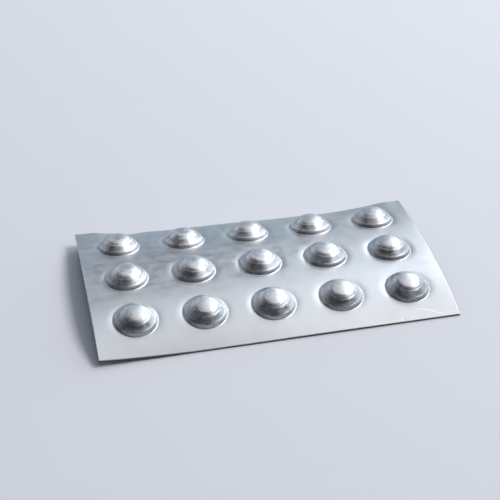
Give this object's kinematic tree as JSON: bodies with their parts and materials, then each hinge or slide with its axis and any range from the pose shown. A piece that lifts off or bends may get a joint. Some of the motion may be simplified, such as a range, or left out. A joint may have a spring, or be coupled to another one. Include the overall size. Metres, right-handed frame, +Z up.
{
  "type": "blister pack",
  "caption": "Sealed foil blister pack for tablets: a thin arched sheet with curled ends and a grid of round stepped pockets.",
  "frame": {"origin": "on the table under the middle of the pack's outline", "axes": "+X along the long side towards the lower end, +Y towards the back edge, +Z up through the pockets"},
  "size_m": [0.1148, 0.0666, 0.0106],
  "materials": {
    "foil": "bare cold-formed foil laminate, satin, with faint drawing rings on the pockets"
  },
  "bodies": {
    "root": {"blister_pack": "foil"}
  },
  "joints": []
}
